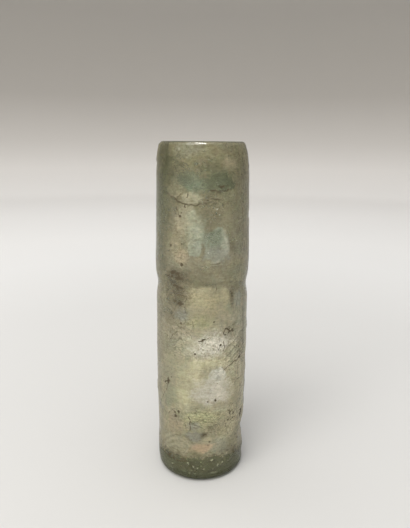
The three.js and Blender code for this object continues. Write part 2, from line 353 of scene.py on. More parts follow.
# name: (points as (angle, height), half width, strength): cracks and dirty lines
cracks = {
    "filmEdgeLeft": (((-51, 129.6), (-44, 129.5), (-39, 128.6), (-33, 127.7)), 0.27, 0.9),
    "filmEdge": (((-33, 127.7), (-30.4, 126.8), (-26.5, 126.3), (-20.5, 125.8)), 0.26, 0.9),
    "filmEdgeMiddle": (((-20.5, 125.8), (-15.5, 125.5), (-8.6, 125.5), (-4, 125.9), (0, 126.3)),
                       0.26, 0.9),
    "filmEdgeTail": (((0, 126.3), (4, 126.5), (9, 126.4)), 0.28, 0.8),
    "filmEdgeHook": (((-31.4, 127), (-31.3, 128.4), (-27.7, 129.2), (-25.2, 129.6)), 0.26, 0.9),
    "filmEdgeDrop": (((-20.3, 125.8), (-20.9, 124.8), (-19.5, 124.3)), 0.26, 1),
    "filmEdgeRight": (((10.3, 128), (15, 127.8), (19.5, 127.8)), 0.31, 1),
    "filmEdgeDash": (((4.7, 127.3), (6.9, 127.4)), 0.34, 0.8),
    "flakeSplit": (((-21, 132.5), (-17.5, 132), (-15.8, 131), (-17.3, 129.6), (-18.6, 128.1)),
                   0.26, 0.65),
    "leafEdge": (((-31.8, 124.4), (-29.8, 122.9), (-27.8, 121.3), (-25.3, 120.6)), 0.31, 0.8),
    "paneFoot": (((9, 131.3), (16, 131.1), (25.5, 131), (36, 131.2)), 0.31, 0.9),
    "paneFootLow": (((16, 130.4), (24.2, 130.2)), 0.26, 0.8),
    "edgeLineHigh": (((55.3, 123.6), (55.6, 121.2)), 0.34, 0.9),
    "edgeLineLow": (((59.9, 109.9), (59.6, 106.9), (57.1, 103.6)), 0.31, 0.7),
    "ochreNotch": (((16.1, 93.1), (17.1, 91.1), (17.4, 89.6)), 0.26, 0.7),
    "ochreSpot": (((22, 93.4), (24.5, 93.6)), 0.43, 0.5),
    "soilNotch": (((-31.2, 87.6), (-24.3, 87.7), (-18.6, 87.5), (-18, 86.5), (-20.5, 85.3)), 0.28, 0.8),
    "waistLine": (((-41, 92), (-35.5, 91.4), (-29.7, 91.1), (-24.3, 91.2)), 0.26, 0.8),
    "mistEdge": (((-11.2, 77.3), (-10, 75.1), (-13, 72.4)), 0.31, 0.6),
    "stroke": (((-3.6, 68.4), (0.2, 68.6), (2.2, 69.1), (4.8, 69.4)), 0.38, 1),
    "blobTail": (((23.6, 66.3), (22.4, 64.9), (21.1, 63.8)), 0.29, 0.7),
    "loop": (((29.2, 70.4), (28.2, 71.8), (29.6, 73.2), (33.2, 73), (36.4, 71.4)), 0.36, 0.9),
    "foldWave": (((27.1, 63.2), (29.2, 65.2), (27.6, 67.3)), 0.31, 0.7),
    "diagonal": (((29.2, 54.6), (32.6, 55.5), (37.2, 55.8), (42.1, 56.8), (49.6, 57.6), (59, 58.6),
                  (70, 60.4)), 0.25, 0.8),
    "shortUpright": (((28.3, 55.3), (28.4, 53.2)), 0.26, 0.6),
    "edgeDiagonal": (((64, 54.6), (72, 56.4), (83, 58.6)), 0.28, 0.7),
    "sideCurve": (((44.8, 46), (48.5, 47.6), (56.3, 47.9)), 0.29, 0.7),
    "sideLine": (((66, 53), (62, 49), (60, 44), (56, 39)), 0.26, 0.6),
    "powderRing": (((19, 52), (22.4, 52.2), (23.2, 50.6), (21.4, 49.4)), 0.29, 0.4),
    "trail": (((-46, 46.5), (-48.6, 43.3), (-57, 38.6), (-61.7, 35.3)), 0.43, 0.6),
    "clusterArc": (((-46.1, 30.8), (-43.1, 32.8), (-38.6, 34.4), (-33.7, 34.7)), 0.29, 0.7),
    "besideCluster": (((-24.9, 32.5), (-22.2, 30.7)), 0.31, 0.7),
    "belowCluster": (((-20.8, 28.9), (-19.5, 27.5)), 0.31, 0.7),
    "slateUpright": (((-15.5, 32.4), (-12.9, 30.9), (-13.6, 28.9), (-13.2, 25.9)), 0.33, 0.8),
    "slateBranch": (((-12.9, 30.4), (-9.5, 29.8)), 0.29, 0.8),
    "slateLine": (((-9.1, 27.4), (-3.4, 27.4)), 0.29, 0.6),
    "sideStreakLow": (((51.9, 36.2), (55.1, 28.7)), 0.29, 0.6),
    "baseLine": (((-70, 9.4), (-56, 10.2), (-43, 9.6), (-29.6, 9.2), (-16.8, 10.4)), 0.34, 0.8),
    "backLong": (((128, 96), (140, 93), (151, 94.5), (163, 91), (176, 92)), 0.29, 0.9),
    "sideRise": (((-118, 52), (-112, 58), (-108, 66), (-101, 71)), 0.28, 0.8),
    "backShort": (((-168, 134), (-160, 132.5), (-152, 133.2)), 0.29, 0.8),
}
# name: (points as (angle, height), half width, strength): raised folds of the film
folds = {
    "ridgeOne": (((-18, 35.2), (-3, 36), (9.4, 35.6)), 0.34, 0.7),
    "ridgeTwo": (((-17, 34.3), (-2, 34.7), (10, 34.6)), 0.3, 0.5),
    "ridgeThree": (((-15.5, 33.4), (0, 33.3), (10.7, 33.4)), 0.34, 0.9),
    "ridgeFour": (((-14, 32.4), (1, 32.5), (13, 31.9)), 0.3, 0.7),
    "ridgeFive": (((-12.9, 31.4), (2, 31.6), (14.6, 30.6)), 0.34, 0.9),
    "ridgeSix": (((-8, 30.4), (6, 30.4), (16, 29.2)), 0.3, 0.6),
    "ridgeSeven": (((-6.6, 29.4), (7, 29.2), (17.3, 27.8)), 0.34, 0.7),
    "ridgeSide": (((13.3, 33.4), (21.2, 30), (25.4, 28.4)), 0.36, 0.9),
    "ridgeSideLow": (((15, 31.6), (20, 29), (23, 27.4)), 0.34, 0.7),
    "foldOne": (((26.5, 62.8), (32, 64.9), (38, 66.2), (48.5, 68.6)), 0.42, 0.9),
    "foldTwo": (((29.4, 60), (36, 62.4), (44, 64.2), (57.8, 66.8)), 0.42, 0.9),
    "foldThree": (((34, 58.2), (42, 60.6), (50, 62), (66, 64.4)), 0.42, 0.9),
    "foldFour": (((40, 57.8), (50, 59.8), (62, 61.6), (74, 63.4)), 0.38, 0.7),
    "mistFoldOne": (((6, 67.9), (12, 67.6), (18, 66.4), (23, 64.6)), 0.36, 0.7),
    "mistFoldTwo": (((9, 66.2), (15, 65.6), (20, 64)), 0.34, 0.7),
    "mistFoldThree": (((-4, 66), (2, 65.4), (8, 64.4)), 0.34, 0.5),
    "mistFoldFour": (((3, 62.8), (10, 62.4), (16, 61.4)), 0.32, 0.5),
    "pebbleArc": (((-62, 14.7), (-53, 18), (-42.6, 20.8), (-33, 23), (-26.4, 23.6), (-15.5, 23),
                   (-9.7, 20.7)), 0.6, 0.6),
    "pebbleInner": (((-56, 13), (-48, 16.4), (-38, 19.4), (-28, 20.8), (-19, 19.8), (-14, 17.6)),
                    0.6, 0.5),
    "pebbleCore": (((-50, 12.4), (-42, 15.6), (-33, 17.6), (-25, 17.2), (-20, 15.4)), 0.5, 0.4),
    "paneArc": (((-1.7, 112.6), (-7.4, 112.4), (-12.6, 111.4), (-16.4, 109.4), (-17.6, 107)),
                0.36, 0.5),
    "ovalArc": (((15.3, 116.2), (23.7, 116), (29.2, 114.4), (32.3, 111.8), (34.4, 108.2),
                 (34, 105)), 0.4, 0.6),
    "ovalScratchOne": (((7.6, 102.5), (14.6, 102.2), (20.6, 102.5)), 0.28, 1),
    "ovalScratchTwo": (((8.8, 101.6), (17, 101.3), (24.5, 101.6)), 0.26, 0.7),
    "tealRingOne": (((-9.5, 133.9), (-5, 134.5), (0, 133.9)), 0.3, 0.5),
    "tealRingTwo": (((-10, 132.7), (-5, 133.3), (0, 132.6)), 0.3, 0.6),
    "tealRingThree": (((-10, 131.5), (-5, 132.1), (1, 131.2)), 0.3, 0.5),
    "edgeYellow": (((56.8, 121.2), (57.9, 118.9)), 0.42, 1),
    "waistThread": (((36, 94.2), (45.8, 93.5), (61.6, 92.3)), 0.28, 0.6),
    "crustRing": (((14.6, 123.6), (16.6, 125.2), (20.4, 125.4), (22.6, 123.4), (20.4, 121.6),
                   (16.6, 121.9), (14.6, 123.6)), 0.32, 0.6),
    "lipFleck": (((-30.7, 147.2), (-30.7, 145.8)), 0.4, 0.9),
}
# (angle, height, radius): the larger dark specks of soil
specks = (
    (-39.6, 108.6, 0.6), (-24.1, 109.6, 0.5), (-33.6, 109.1, 0.4), (-42.2, 106, 0.45),
    (-23.8, 101.2, 0.8), (-43.9, 102.5, 0.4), (-16.1, 104.9, 0.4), (-24.6, 122.3, 0.6),
    (-26.2, 120.9, 0.6), (-18.5, 116.7, 0.4), (-26.5, 117, 0.35), (-46.4, 147.2, 0.5),
    (-33.4, 146.4, 0.4), (-27.5, 146.4, 0.45), (-3.8, 140.5, 0.45), (14.7, 76.9, 0.6),
    (18.1, 75.7, 0.35), (-25.5, 75.6, 0.55), (-25.8, 74, 0.4), (-39.3, 68.9, 0.7),
    (-46.4, 68.7, 0.45), (7.9, 69.5, 0.4), (20.6, 70.1, 0.45), (23.6, 66.3, 0.75),
    (30.2, 70.5, 0.55), (35.3, 71.3, 0.6), (40.9, 71.5, 0.5), (-7.7, 62.5, 0.6),
    (-33.9, 60.7, 0.45), (-18.1, 52.8, 0.4), (19.8, 48.6, 0.5), (12.1, 51.3, 0.35),
    (16.3, 56.7, 0.35), (-44.4, 47.2, 0.7), (-39.9, 49.9, 0.5), (58.2, 43.6, 0.5),
    (8.4, 40.3, 0.5), (17.8, 40.5, 0.6), (18.6, 41.6, 0.35), (-15.5, 40.4, 0.35),
    (-34.2, 33.4, 0.55), (-28.9, 34.4, 0.65), (-34.1, 31.6, 0.7), (-52.5, 31.3, 0.45),
    (-52.6, 29.3, 0.45), (-45.2, 27.5, 0.4), (12.1, 20.4, 0.65), (9.9, 18.7, 0.45),
    (39.7, 32.4, 0.5), (38.8, 22.4, 0.55), (59.3, 17.1, 0.6), (63.6, 28.9, 0.7),
    (-11.6, 21.3, 0.4), (-44, 81.1, 0.4), (-40, 80.4, 0.4), (-36, 80, 0.4), (-38, 81.6, 0.35))
# (angle, height, radius): pale grains, most of them in the dark band at the foot; the white ones high
# on the front are painted glints
grains = (
    (-39.4, 6.9, 0.5), (-15.4, 9.6, 0.5), (-8.5, 7.9, 0.6), (-3.5, 7.3, 0.35), (1.8, 8.3, 0.3),
    (5, 6.8, 0.45), (15.3, 11, 0.65), (22.7, 8.2, 0.5), (37, 12.2, 0.55), (10.3, 13.9, 0.5),
    (14.2, 14.5, 0.4), (19.2, 14.8, 0.3), (21, 13, 0.4), (-55, 10.6, 0.45), (45.2, 10.5, 0.45),
    (30.3, 8.9, 0.5), (-25, 7.4, 0.3), (-48, 8.2, 0.35), (31, 11.4, 0.3), (9.5, 9.4, 0.3),
    (-20, 6, 0.4), (-11, 5.9, 0.3), (17, 6.4, 0.4), (52, 8, 0.4), (-32, 9.4, 0.3), (1, 10.4, 0.3),
    (26, 13.4, 0.3), (-3.5, 141.6, 0.6), (-5.8, 139.2, 0.45), (-19, 140.6, 0.36), (7, 143.1, 0.36),
    (-30.7, 146.7, 0.5), (-19, 143.6, 0.34), (17.3, 124, 0.4), (19.8, 121.6, 0.4),
    (24, 123.9, 0.3), (6.9, 106.4, 0.34), (-110, 96, 0.5), (-172, 84, 0.5), (140, 104, 0.5),
    (98, 12, 0.5), (168, 9.4, 0.5), (-128, 8.2, 0.5))
# (angle, height, radius): glassy blisters with no film on them
blisters = (
    (-7.1, 141.4, 0.34), (16.9, 134, 0.34), (18.7, 133.4, 0.4), (16.2, 122.4, 0.3),
    (-150, 112, 0.5), (120, 131, 0.45))
# name: (angle, height, half width, half height, turn, rise): lumps and dents of the wall
swells = {
    "knobRight": (88, 69.6, 3, 1.6, 0, 0.22),
    "dentRight": (86, 55, 4, 4.4, 0, -0.32),
    "flatRight": (84, 17, 8, 6.4, 0, -0.45),
    "leanRight": (84, 40, 8, 7, 0, -0.28),
    "notchFoot": (84, 18.5, 8, 3.2, 0, -0.5),
    "heelRight": (60, 5.4, 12, 3.6, 0, -0.4),
    "knobLeft": (-86, 39.6, 3, 2.2, 0, 0.22),
    "crustRight": (90, 108, 9, 9.6, 0, 0.1),
    "notchRight": (84, 119.6, 5, 1.8, 0, -0.2),
    "lipLeft": (-84, 145.4, 8, 3.6, 0, 0.38),
    "flakeLeft": (-31, 130.9, 4.8, 2.8, -8, 0.09),
    "flakeRight": (-13.5, 128.2, 4.6, 2.5, -4, 0.11),
    "paleColumn": (-18, 119.5, 4.6, 5.8, 0, 0.06),
    "ochreBand": (7, 86.9, 10, 3.8, 0, 0.06),
    "powderLeft": (15, 52.2, 2.3, 3.6, 0, 0.06),
    "powderPatch": (23.5, 52, 2.5, 3.8, 0, 0.06),
    "slateLow": (-6.5, 23.2, 4, 2.6, 0, -0.08),
    "palePebble": (-31, 17.5, 6.6, 5, 0, 0.09),
}
print("sizes read, vase", round(vaseHeight, 1), "mm high")


def wallAngle(x, y):  # degrees from the viewer's side
    return math.degrees(math.atan2(x, -y))


def across(angle, other, radius):  # distance round the wall between two angles, in millimetres
    return math.radians((angle - other + 180) % 360 - 180) * radius


def patchMask(angle, z, radius, patch, softness, ragged):  # 1 inside a patch, 0 outside
    reach = 2 * max(patch[2], patch[3])
    u, v = across(angle, patch[0], radius), z - patch[1]
    if abs(u) > reach or abs(v) > reach:
        return 0.0
    turn = math.radians(patch[4])
    along = u * math.cos(turn) + v * math.sin(turn)
    up = v * math.cos(turn) - u * math.sin(turn)
    distance = math.hypot(along / patch[2], up / patch[3]) + ragged * min(1, 0.35 + softness)
    return smoothRise((1 + softness - distance) / (2 * softness))


def strongest(group, angle, z, radius, softness, ragged):  # largest amount of a group here
    return max(patch[5] * patchMask(angle, z, radius, patch, softness, ragged)
               for patch in group.values())


def nearness(angle, z, radius, spot):  # 0 at the middle of a speck, 1 at its edge
    return math.hypot(across(angle, spot[0], radius), z - spot[1]) / spot[2]


def crackMask(angle, z, radius, crack):  # its strength on the line, fading to both sides
    points, halfWidth, strength = crack
    closest = 9.0
    for (startAngle, startZ), (endAngle, endZ) in zip(points, points[1:]):
        u, v = across(angle, startAngle, radius), z - startZ
        if abs(u) > 12 or abs(v) > 12:
            continue
        spanU, spanV = across(endAngle, startAngle, radius), endZ - startZ
        part = max(0.0, min(1.0, (u * spanU + v * spanV) / (spanU ** 2 + spanV ** 2)))
        closest = min(closest, math.hypot(u - part * spanU, v - part * spanV))
    return strength * bell(closest / halfWidth)


def nearDetail(angle, z, radius, reach):  # is this spot close to a crack or a speck?
    for spot in specks + grains + blisters:
        if abs(z - spot[1]) < spot[2] + reach and abs(across(angle, spot[0], radius)) < spot[2] + reach:
            return True
    for line in (*cracks.values(), *folds.values()):
        points = line[0]
        heights = [point[1] for point in points]
        if min(heights) - reach < z < max(heights) + reach:
            if crackMask(angle, z, radius, (points, reach, 1.0)) > 0.37:
                return True
    return False


def nearBlister(angle, z, radius, reach):
    return any(nearness(angle, z, radius, spot) < 1 + reach / spot[2] for spot in blisters)


def spun(profile, unit, steps, merge):  # a surface turned about Z from points (radius, height)
    bm = bmesh.new()
    points = [bm.verts.new((r * unit, 0, z * unit)) for r, z in profile]
    edges = [bm.edges.new(pair) for pair in zip(points, points[1:])]
    bmesh.ops.spin(bm, geom=points + edges, cent=(0, 0, 0), axis=(0, 0, 1), angle=math.tau,
                   steps=steps, use_merge=True, use_duplicate=False)
    bmesh.ops.remove_doubles(bm, verts=bm.verts, dist=merge)
    bmesh.ops.recalc_face_normals(bm, faces=bm.faces)
    return bm


def isOutside(x, y, z):  # on the outer wall, between the heel and the lip
    return 1.0 < z < vaseHeight - 0.6 and math.hypot(x, y) > outerRadius(z) - form["wall"] / 2


def refine(bm, isClose, reach):  # halve the edges near fine details
    close = set()
    for vert in bm.verts:
        x, y, z = vert.co / mm
        if isOutside(x, y, z) and isClose(wallAngle(x, y), z, outerRadius(z), reach):
            close.add(vert)
    edges = [edge for edge in bm.edges if edge.verts[0] in close and edge.verts[1] in close]
    bmesh.ops.subdivide_edges(bm, edges=edges, cuts=1, use_grid_fill=True)
    bmesh.ops.triangulate(bm, faces=[face for face in bm.faces if len(face.verts) > 4])


def filmColour(angle, z, radius, ragged):  # colour of the painted patches here and how much they cover
    colour, amount = (0.3, 0.27, 0.18), 0.0
    for patch in patches.values():
        mask = patchMask(angle, z, radius, patch, patch[7], ragged) * patch[6]
        if mask > 0.001:
            share = mask / (mask + amount * (1 - mask))
            colour = mixed(colour, patch[5], share)
            amount = mask + amount * (1 - mask)
    return colour, amount


def mixed(first, second, share):
    return tuple(a + (b - a) * share for a, b in zip(first, second))


def lineMask(group, angle, z, radius, spot):  # wandering, broken lines of a group, strongest first
    wobbleAngle = angle + 1.2 * noise.noise(spot / 1.8)
    wobbleZ = z + 0.5 * noise.noise(spot / 1.8 + Vector((4, 8, 2)))
    mark = 0.0
    for line in group.values():
        if line[0][0][1] - 14 < z < line[0][0][1] + 14:
            mark = max(mark, crackMask(wobbleAngle, wobbleZ, radius, line))
    return mark * (0.75 + 0.25 * islands(spot, 1.3, (7, 1, 4), -0.25, 0.3))


wear = {
    "coarseSize": 5.0,  # sizes of the noises, in millimetres
    "fineSize": 1.5,
    "cloudSize": 9.0,
    "smearSize": 7.0,
    "frontTo": 50,  # beyond this angle from the front there are more gaps and smears
    "frontFade": 40,
    "frontGaps": 0.15,
    "hiddenGaps": 0.3,
    "hiddenSmears": 0.55,
    "plainCrumple": 0.25,
    "lipBand": 5,  # height of the plain inner part of the lip
}
# the brown and green bands at the foot: heights in millimetres, then shares
foot = {
    "greenTop": 13.4,
    "brownTop": 16.0,
    "sideDrop": 3.0,  # how much lower the bands stand at the sides and behind
    "darkTop": 5.4,
    "edgeTop": 3.0,
    "heelLine": 4.6,
    "brownAmount": 0.55,
    "filmGone": 0.28,
}
# how much each kind of wear raises the surface, in millimetres
rises = {
    "whole": -0.1,
    "coarse": 0.05,
    "missing": -0.13,
    "crack": -0.14,
    "crackLip": 0.05,
    "fold": 0.1,
    "dirt": 0.06,
    "crumple": 0.05,
    "wrinkle": 0.045,
    "grain": 0.12,
    "blister": 0.7,  # a share of its radius
}


def dirtAt(angle, z, radius, spot, hidden, ragged, fine):  # how much soil lies here
    level = strongest(soilPatches, angle, z, radius, 0.7, ragged)
    smear = islands(spot, wear["smearSize"], (9, 2, 5), 0.2, 0.25)
    level = max(level, wear["hiddenSmears"] * hidden * smear)
    clumps = noise.noise(Vector((spot.x, spot.y, spot.z / 0.6))) + 0.5 * fine
    dirt = smoothRise((level + 0.8 * clumps - 0.55) / 0.45) if level > 0.02 else 0.0
    for speck in specks:
        if abs(z - speck[1]) < 3 * speck[2]:
            strength = 0.5 + 0.5 * smoothRise((speck[2] - 0.35) / 0.3)
            gap = nearness(angle, z, radius, speck)
            dirt = max(dirt, strength * smoothRise((1.2 - gap - 0.9 * fine) / 0.7))
    return dirt


def footBands(colour, amount, angle, spot, coarse, fine):  # colour, cover and share of the green band
    z = spot.z
    drop = foot["sideDrop"] * min(1.0, (angle / 90) ** 2)
    brownTop = foot["brownTop"] + 4.0 * coarse + 2.0 * fine - drop - 2.5 * smoothRise((angle + 5) / 20)
    brown = foot["brownAmount"] * smoothRise((brownTop - z) / 6.0 + 0.5)
    amount = brown + amount * (1 - brown)
    colour = mixed(colour, baseBrown, brown / max(amount, 0.01))

    greenTop = foot["greenTop"] + 2.6 * coarse + 1.6 * fine - drop
    green = smoothRise((greenTop - z) / 4.0 + 0.5)
    # the green is the glass's own colour; its darkening towards the standing edge is painted shade,
    # where the thick foot meets its shadow on the floor
    dark = smoothRise((foot["darkTop"] + 1.5 * coarse - z) / 1.6 + 0.5)
    edge = smoothRise((foot["edgeTop"] - z) / 1.8)
    glassTone = mixed(baseGreen, mixed(footGreen, footEdge, edge), dark)
    colour = mixed(colour, glassTone, green * (0.35 + 0.5 * smoothRise((greenTop - z) / 3.0)))

    stain = islands(spot, 2.2, (1, 9, 6), 0.1, 0.3)
    colour = mixed(colour, rust, 0.5 * stain * green * smoothRise((z - 3.5) / 2))
    heel = bell((z - foot["heelLine"] - 0.9 * coarse) / 0.3) * islands(spot, 2.0, (0, 0, 0), -0.15, 0.3)
    return mixed(colour, heelLight, 0.7 * heel), max(amount, green), green


# what the mesh tells the material: film gone, dirt, folding, inside of the vase, shine, and painted
# light and shade
layerNames = ("bare", "soil", "crumple", "inside", "gloss", "lit")


def weather(bm):
    patina = bm.verts.layers.float_color.new("patina")
    bare, soil, crumple, inside, gloss, lit = (bm.verts.layers.float.new(name) for name in layerNames)
    for vert in bm.verts:
        x, y, z = vert.co / mm
        spot = Vector((x, y, z))
        if isOutside(x, y, z):
            radius, angle = outerRadius(z), wallAngle(x, y)
            coarse, fine = noise.noise(spot / wear["coarseSize"]), noise.noise(spot / wear["fineSize"])
            ragged = max(-0.4, min(0.4, 0.6 * coarse + 0.45 * fine))
            colour, amount = filmColour(angle, z, radius, ragged)
            hidden = smoothRise((abs(angle) - wear["frontTo"]) / wear["frontFade"])
            missing = strongest(barePatches, angle, z, radius, 0.5, ragged)
            cloud = islands(spot, wear["cloudSize"], (3, 7, 1), 0.06, 0.4)
            missing = max(missing, (wear["frontGaps"] + wear["hiddenGaps"] * hidden) * cloud)
            plain = wear["plainCrumple"]
            folded = plain + (1 - plain) * strongest(crumples, angle, z, radius, 0.5, ragged)
            dirt = dirtAt(angle, z, radius, spot, hidden, ragged, fine)
            groove = lineMask(cracks, angle, z, radius, spot)
            crest = lineMask(folds, angle, z, radius, spot)
            # painted highlight on the edge above a crack and on a fold's crest, painted shade on the
            # strip below a fold
            lipLight = lineMask(cracks, angle, z - 0.55, radius, spot)
            foldShade = lineMask(folds, angle, z + 0.6, radius, spot)
            colour, amount, green = footBands(colour, amount, angle, spot, coarse, fine)
            missing = max(missing * (1 - green), foot["filmGone"] * green)

            relief = rises["whole"]
            for grain in grains:
                if abs(z - grain[1]) < 2 * grain[2]:
                    rough = noise.noise(spot / 0.6)
                    pale = smoothRise((1.0 - nearness(angle, z, radius, grain) + 1.2 * rough) / 0.7)
                    pale *= min(1.0, grain[2] / 0.5)
                    # grains above 60 mm are near white: on the upper front they are painted glints
                    colour = mixed(colour, powderAndGlint if grain[1] > 60 else grainLight, pale)
                    missing *= 1 - pale
                    relief += rises["grain"] * pale
            for blister in blisters:
                gap = nearness(angle, z, radius, blister)
                if gap < 1.6:
                    relief += rises["blister"] * blister[2] * math.sqrt(max(0.0, 1 - gap ** 2))
                    missing = max(missing, 1.25 * smoothRise((1.3 - gap) / 0.3))
                    dirt *= smoothRise((gap - 1) / 0.4)
            for swell in swells.values():
                relief += swell[5] * patchMask(angle, z, radius, swell, 0.25, 0.5 * ragged)
            wrinkle = 1 - 4 * abs(noise.noise(spot / 1.6 + Vector((5, 5, 5))))
            relief += rises["coarse"] * coarse + rises["missing"] * missing * (missing < 1)
            relief += rises["crack"] * groove + rises["crackLip"] * lipLight + rises["fold"] * crest
            relief += rises["dirt"] * dirt * (0.6 + fine)
            relief += folded * (rises["crumple"] * fine + rises["wrinkle"] * wrinkle)
            scale = 1 + relief / radius
            x, y = x * scale, y * scale
            vert[patina] = (*colour, amount)
            vert[bare] = missing
            vert[soil] = max(dirt, min(1.0, 1.1 * groove))
            vert[crumple] = folded
            vert[lit] = 0.35 * lipLight + 0.4 * crest - 0.45 * foldShade
            shine = max(0.2 * smoothRise((z - vaseHeight + 4) / 2.5), smoothRise((missing - 0.9) / 0.2))
            vert[gloss] = shine - 0.3 * green
        elif z > vaseHeight - wear["lipBand"]:
            vert[patina] = (*olive, 0.8)
            vert[bare] = 0.2
            vert[crumple] = 0.3
            vert[gloss] = 0.2
        else:
            vert[patina] = (*khaki, 0.0)
            vert[bare] = 0.75
            vert[crumple] = 0.3
            inBore = z > 3.0 and math.hypot(x, y) < outerRadius(z) - form["wall"] / 2
            vert[inside] = 1.0 if inBore else 0.0
        x, y = wander(x, y, z)
        vert.co = Vector((x, y, z)) * mm


def centreOnFrame(bm):  # middle of the mesh on the middle of the CAD node
    xs, ys = [v.co.x for v in bm.verts], [v.co.y for v in bm.verts]
    middle = Vector(((min(xs) + max(xs)) / 2, (min(ys) + max(ys)) / 2, 0))
    target = Vector(((low.x + high.x) / 2, (low.y + high.y) / 2, 0))
    bmesh.ops.translate(bm, verts=bm.verts, vec=target - middle)


def finishedObject(name, bm, material):
    mesh = bpy.data.meshes.new(name)
    for face in bm.faces:
        face.smooth = True
    bm.to_mesh(mesh)
    bm.free()
    piece = bpy.data.objects.new(name, mesh)
    scene.collection.objects.link(piece)
    mesh.materials.append(material)
    return piece


class Wire:  # one value in a shader, with arithmetic on it
    def __init__(self, bench, socket):
        self.bench = bench
        self.socket = socket

    def maths(self, operation, *others, clamp=False):
        settings = {"operation": operation, "use_clamp": clamp}
        return self.bench.node("ShaderNodeMath", settings, dict(enumerate((self, *others))))

    def __add__(self, other):
        return self.maths("ADD", other)

    __radd__ = __add__

    def __sub__(self, other):
        return self.maths("SUBTRACT", other)

    def __rsub__(self, other):
        return self.bench.node("ShaderNodeMath", {"operation": "SUBTRACT"}, {0: other, 1: self})

    def __mul__(self, other):
        return self.maths("MULTIPLY", other)

    __rmul__ = __mul__

    def __truediv__(self, other):
        return self.maths("DIVIDE", other)

    def clamped(self):
        return self.maths("ADD", 0.0, clamp=True)

    def between(self, start, end):  # 0 at start, 1 at end, smooth
        ranges = {0: self, 1: start, 2: end, 3: 0.0, 4: 1.0}
        return self.bench.node("ShaderNodeMapRange", {"interpolation_type": "SMOOTHSTEP"}, ranges)

    def larger(self, other):
        return self.maths("MAXIMUM", other)

    def veins(self, halfWidth):  # thin lines where a noise crosses its middle value
        return 1 - (self - 0.5).maths("ABSOLUTE").between(0.0, halfWidth)


class Bench:  # a material being built
    def __init__(self, name):
        self.material = bpy.data.materials.new(name)
        self.material.use_nodes = True
        self.tree = self.material.node_tree
        self.tree.nodes.clear()

    def node(self, kind, settings=None, inputs=None, output=0):
        made = self.tree.nodes.new(kind)
        for key, value in (settings or {}).items():
            if key == "stops":
                ramp = made.color_ramp
                while len(ramp.elements) < len(value):
                    ramp.elements.new(0.5)
                for element, (position, colour) in zip(ramp.elements, value):
                    element.position = position
                    element.color = (*colour, 1.0)
            else:
                setattr(made, key, value)
        for key, value in (inputs or {}).items():
            if isinstance(value, Wire):
                self.tree.links.new(value.socket, made.inputs[key])
            else:
                made.inputs[key].default_value = value
        return Wire(self, made.outputs[output]) if made.outputs else None

    def mixColour(self, factor, first, second, blend="MIX"):
        inputs = {0: factor, 6: first, 7: second}
        return self.node("ShaderNodeMix", {"data_type": "RGBA", "blend_type": blend}, inputs, output=2)

    def attribute(self, name, output=2):
        return self.node("ShaderNodeAttribute", {"attribute_name": name}, output=output)

    def noise(self, place, scale, detail=3.0, roughness=0.55, distortion=0.0, output=0):
        inputs = {"Vector": place, "Scale": scale, "Detail": detail, "Roughness": roughness,
                  "Distortion": distortion}
        return self.node("ShaderNodeTexNoise", {}, inputs, output=output)

    def finish(self, surface, volume=None):
        inputs = {"Surface": surface}
        if volume:
            inputs["Volume"] = volume
        self.node("ShaderNodeOutputMaterial", {}, inputs)
        return self.material


glassLook = {
    "glassColour": (0.86, 0.87, 0.76, 1.0),
    "glassRoughness": 0.12,
    "filmRoughness": 0.6,
    "filmShine": 0.15,
    "filmBump": 0.35,  # in millimetres
    "glassBump": 0.25,
    "warpReach": (2.6, 2.6, 2.6),
    "coatWeight": 0.4,
    "coatRoughness": 0.14,
    "soilColour": (0.085, 0.068, 0.04, 1.0),
    "absorbColour": (0.28, 0.46, 0.1, 1.0),
    "absorbDensity": 120.0,
    "filmCover": 0.8,
    # film colour by height, from the foot to the lip; partly painted light and shade, lightest low on
    # the body and darker up towards the lip
    "filmToneAndShade": ((0.0, (0.28, 0.255, 0.16)), (0.13, (0.34, 0.31, 0.205)), (0.24, (0.41, 0.38, 0.26)),
                  (0.36, (0.44, 0.405, 0.29)), (0.44, (0.41, 0.38, 0.275)),
                  (0.52, (0.355, 0.325, 0.23)), (0.6, (0.26, 0.235, 0.153)),
                  (0.7, (0.27, 0.246, 0.165)), (0.8, (0.23, 0.21, 0.138)), (0.9, (0.2, 0.182, 0.113)),
                  (1.0, (0.25, 0.228, 0.142))),
    # tints of the single flakes, picked at random; mid grey leaves a flake as it is
    "fleckTones": ((0.0, (0.46, 0.45, 0.43)), (0.3, (0.5, 0.5, 0.5)), (0.55, (0.485, 0.505, 0.48)),
                   (0.8, (0.515, 0.51, 0.485)), (1.0, (0.54, 0.535, 0.52))),
    # faint play of colour in the film, by a slow noise
    "rainbow": ((0.3, (0.32, 0.42, 0.36)), (0.42, (0.52, 0.5, 0.3)), (0.5, (0.58, 0.42, 0.34)),
                (0.58, (0.46, 0.4, 0.46)), (0.7, (0.34, 0.44, 0.38))),
}


# scales of the film's textures, per millimetre
scales = {
    "clouds": 0.11,
    "mottle": 0.42,
    "grit": 1.0,
    "streaks": 0.9,
    "lines": 1.1,
    "fineLines": 2.2,
    "warp": 0.5,
    "cells": 0.5,
    "folds": 0.55,
    "fineFolds": 1.1,
    "swirls": 0.22,
    "ridges": 1.0,
    "flecks": 0.9,
    "hue": 0.075,
    "pits": 1.0,
}


